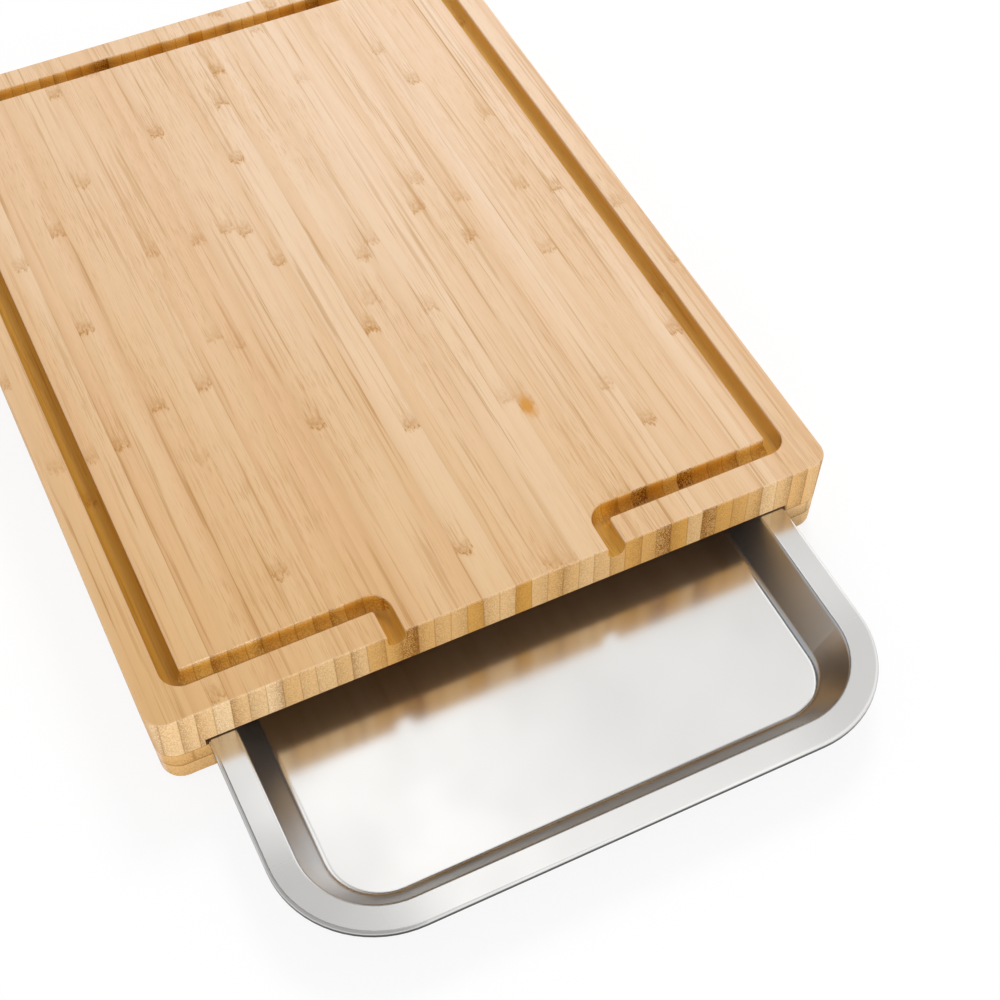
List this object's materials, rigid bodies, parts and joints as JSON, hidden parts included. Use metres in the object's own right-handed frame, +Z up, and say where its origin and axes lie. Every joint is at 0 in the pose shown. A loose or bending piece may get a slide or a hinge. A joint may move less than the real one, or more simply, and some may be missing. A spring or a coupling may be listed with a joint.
{
  "type": "cutting board with tray",
  "caption": "Bamboo cutting board with a juice groove, two front spouts and a stainless steel tray that slides out from under it.",
  "frame": {"origin": "on the table, under the middle of the box round the board and its pulled-out tray", "axes": "+X to the right along the front edge, +Y from the tray's front to the board's back, +Z up"},
  "size_m": [0.2998, 0.4984, 0.0425],
  "materials": {
    "bamboo_panel": "sanded and lightly oiled, upright strips",
    "bamboo_ply": "sanded, flat strips",
    "brushed_steel": "satin stainless steel",
    "rubber": "matte"
  },
  "bodies": {
    "board": {"top_board": "bamboo_panel", "left_runner_upper_ply": "bamboo_ply", "left_runner_lower_ply": "bamboo_ply", "right_runner_upper_ply": "bamboo_ply", "right_runner_lower_ply": "bamboo_ply", "rear_rail_upper_ply": "bamboo_ply", "rear_rail_lower_ply": "bamboo_ply", "front_left_foot": "rubber", "front_right_foot": "rubber", "rear_left_foot": "rubber", "rear_right_foot": "rubber"},
    "tray": {"tray": "brushed_steel"}
  },
  "joints": [
    {"name": "tray_slide", "type": "slide", "parent": "board", "child": "tray", "axis": [0, -1, 0], "range_m": [-0.1064, 0.257]}
  ]
}
